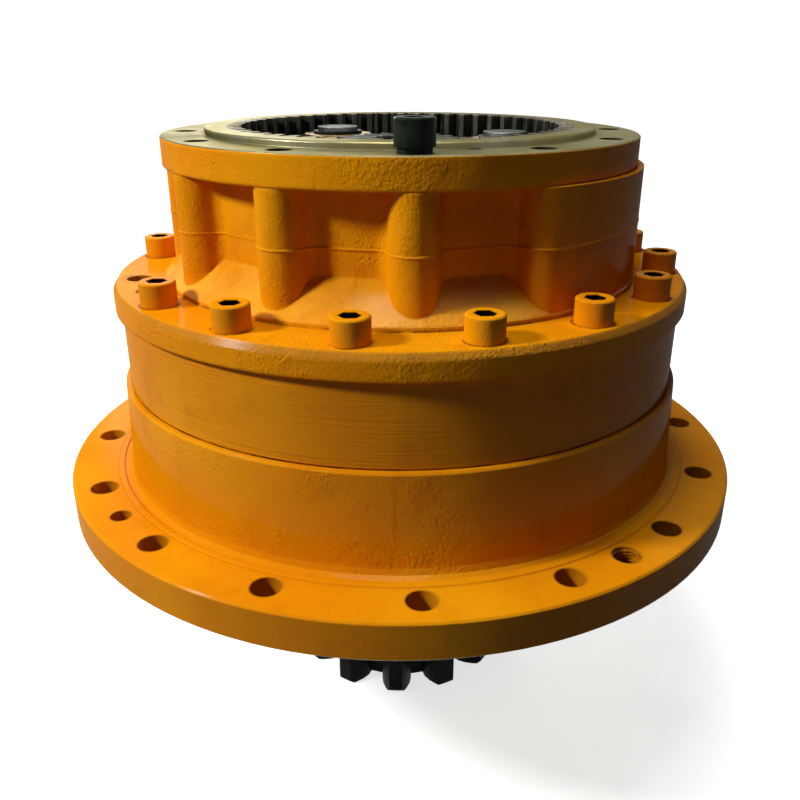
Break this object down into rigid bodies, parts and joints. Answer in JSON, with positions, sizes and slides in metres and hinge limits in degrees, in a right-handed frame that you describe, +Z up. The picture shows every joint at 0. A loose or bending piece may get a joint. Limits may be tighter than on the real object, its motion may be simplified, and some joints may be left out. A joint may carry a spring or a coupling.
{
  "type": "swing gearbox",
  "caption": "Planetary swing gearbox with a wide bolted mounting flange, scalloped upper housing, open motor flange with a gear ring inside, and an output pinion below.",
  "frame": {"origin": "centre of the mounting flange's bolt circle, on its underside", "axes": "+Z up the output axis from the pinion to the motor flange, -Y the front seen in the picture"},
  "size_m": [0.5899, 0.59, 0.527],
  "materials": {
    "orange_paint": "glossy enamel over rough casting",
    "painted_fasteners": "glossy enamel",
    "gear_steel": "oiled hobbed teeth",
    "dark_shaft_steel": "dark hardened steel under rust-proofing",
    "black_oxide": "black oxide, oiled",
    "ground_steel": "ground",
    "cast_carrier": "machined casting",
    "bronze": "bearing bronze",
    "seal_rubber": "moulded"
  },
  "bodies": {
    "housing": {"lower_housing": "orange_paint", "drain_plug": "painted_fasteners", "second_stage_ring_gear": "orange_paint", "upper_housing": "orange_paint", "first_stage_ring_gear": "gear_steel", "ring_lock_pins": "ground_steel", "lower_joint_seal": "seal_rubber", "upper_joint_seal": "seal_rubber", "joint_dowels": "ground_steel", "flange_cap_screws": "painted_fasteners", "bottom_cover": "cast_carrier", "bottom_cover_screws": "black_oxide", "oil_seal": "seal_rubber", "lower_bearing_cup": "ground_steel", "upper_bearing_cup": "ground_steel"},
    "output_shaft": {"output_pinion_shaft": "dark_shaft_steel", "lower_bearing_cone": "ground_steel", "upper_bearing_cone": "ground_steel", "bearing_spacer": "ground_steel", "keeper_plate": "cast_carrier", "keeper_screws": "black_oxide", "second_stage_carrier": "cast_carrier", "second_stage_pins": "ground_steel", "pin_lock_pins": "black_oxide", "second_stage_washers": "bronze", "second_sun_washer": "bronze"},
    "lower_rollers": {"lower_bearing_rollers": "ground_steel"},
    "upper_rollers": {"upper_bearing_rollers": "ground_steel"},
    "second_planet_1": {"second_stage_planet_1": "gear_steel", "second_stage_bush_1": "bronze"},
    "second_planet_2": {"second_stage_planet_2": "gear_steel", "second_stage_bush_2": "bronze"},
    "second_planet_3": {"second_stage_planet_3": "gear_steel", "second_stage_bush_3": "bronze"},
    "first_carrier": {"first_stage_carrier": "cast_carrier", "second_stage_sun_gear": "gear_steel", "first_stage_pins": "ground_steel", "first_stage_washers": "bronze", "first_stage_clips": "black_oxide", "sun_thrust_plate": "bronze"},
    "first_planet_1": {"first_stage_planet_1": "gear_steel", "first_stage_bush_1": "bronze"},
    "first_planet_2": {"first_stage_planet_2": "gear_steel", "first_stage_bush_2": "bronze"},
    "first_planet_3": {"first_stage_planet_3": "gear_steel", "first_stage_bush_3": "bronze"},
    "input_sun": {"first_stage_sun_gear": "gear_steel"},
    "motor_screw": {"motor_flange_screw": "black_oxide", "motor_flange_washer": "black_oxide"}
  },
  "joints": [
    {"name": "output_spin", "type": "hinge", "parent": "housing", "child": "output_shaft", "pos_m": [0, 0, 0], "axis": [0, 0, 1], "continuous": true},
    {"name": "lower_roller_orbit", "type": "hinge", "parent": "housing", "child": "lower_rollers", "pos_m": [0, 0, -0.038], "axis": [0, 0, 1], "continuous": true},
    {"name": "upper_roller_orbit", "type": "hinge", "parent": "housing", "child": "upper_rollers", "pos_m": [0, 0, 0.027], "axis": [0, 0, 1], "continuous": true},
    {"name": "first_carrier_spin", "type": "hinge", "parent": "housing", "child": "first_carrier", "pos_m": [0, 0, 0.2], "axis": [0, 0, 1], "continuous": true},
    {"name": "input_spin", "type": "hinge", "parent": "housing", "child": "input_sun", "pos_m": [0, 0, 0.27], "axis": [0, 0, 1], "continuous": true},
    {"name": "second_planet_1_spin", "type": "hinge", "parent": "output_shaft", "child": "second_planet_1", "pos_m": [0.03261, -0.12171, 0], "axis": [0, 0, 1], "continuous": true},
    {"name": "second_planet_2_spin", "type": "hinge", "parent": "output_shaft", "child": "second_planet_2", "pos_m": [0.08909, 0.08909, 0], "axis": [0, 0, 1], "continuous": true},
    {"name": "second_planet_3_spin", "type": "hinge", "parent": "output_shaft", "child": "second_planet_3", "pos_m": [-0.12171, 0.03261, 0], "axis": [0, 0, 1], "continuous": true},
    {"name": "first_planet_1_spin", "type": "hinge", "parent": "first_carrier", "child": "first_planet_1", "pos_m": [-0.03661, -0.08222, 0], "axis": [0, 0, 1], "continuous": true},
    {"name": "first_planet_2_spin", "type": "hinge", "parent": "first_carrier", "child": "first_planet_2", "pos_m": [0.08951, 0.00941, 0], "axis": [0, 0, 1], "continuous": true},
    {"name": "first_planet_3_spin", "type": "hinge", "parent": "first_carrier", "child": "first_planet_3", "pos_m": [-0.0529, 0.07281, 0], "axis": [0, 0, 1], "continuous": true},
    {"name": "motor_screw_lift", "type": "slide", "parent": "housing", "child": "motor_screw", "axis": [0, 0, 1], "range_m": [0, 0.06]}
  ],
  "couplings": [
    {"joint": "lower_roller_orbit", "follows": "output_spin", "ratio": 0.43229},
    {"joint": "upper_roller_orbit", "follows": "output_spin", "ratio": 0.42941},
    {"joint": "first_carrier_spin", "follows": "output_spin", "ratio": 4},
    {"joint": "input_spin", "follows": "output_spin", "ratio": 16},
    {"joint": "second_planet_1_spin", "follows": "output_spin", "ratio": -3},
    {"joint": "second_planet_2_spin", "follows": "output_spin", "ratio": -3},
    {"joint": "second_planet_3_spin", "follows": "output_spin", "ratio": -3},
    {"joint": "first_planet_1_spin", "follows": "output_spin", "ratio": -12},
    {"joint": "first_planet_2_spin", "follows": "output_spin", "ratio": -12},
    {"joint": "first_planet_3_spin", "follows": "output_spin", "ratio": -12}
  ]
}
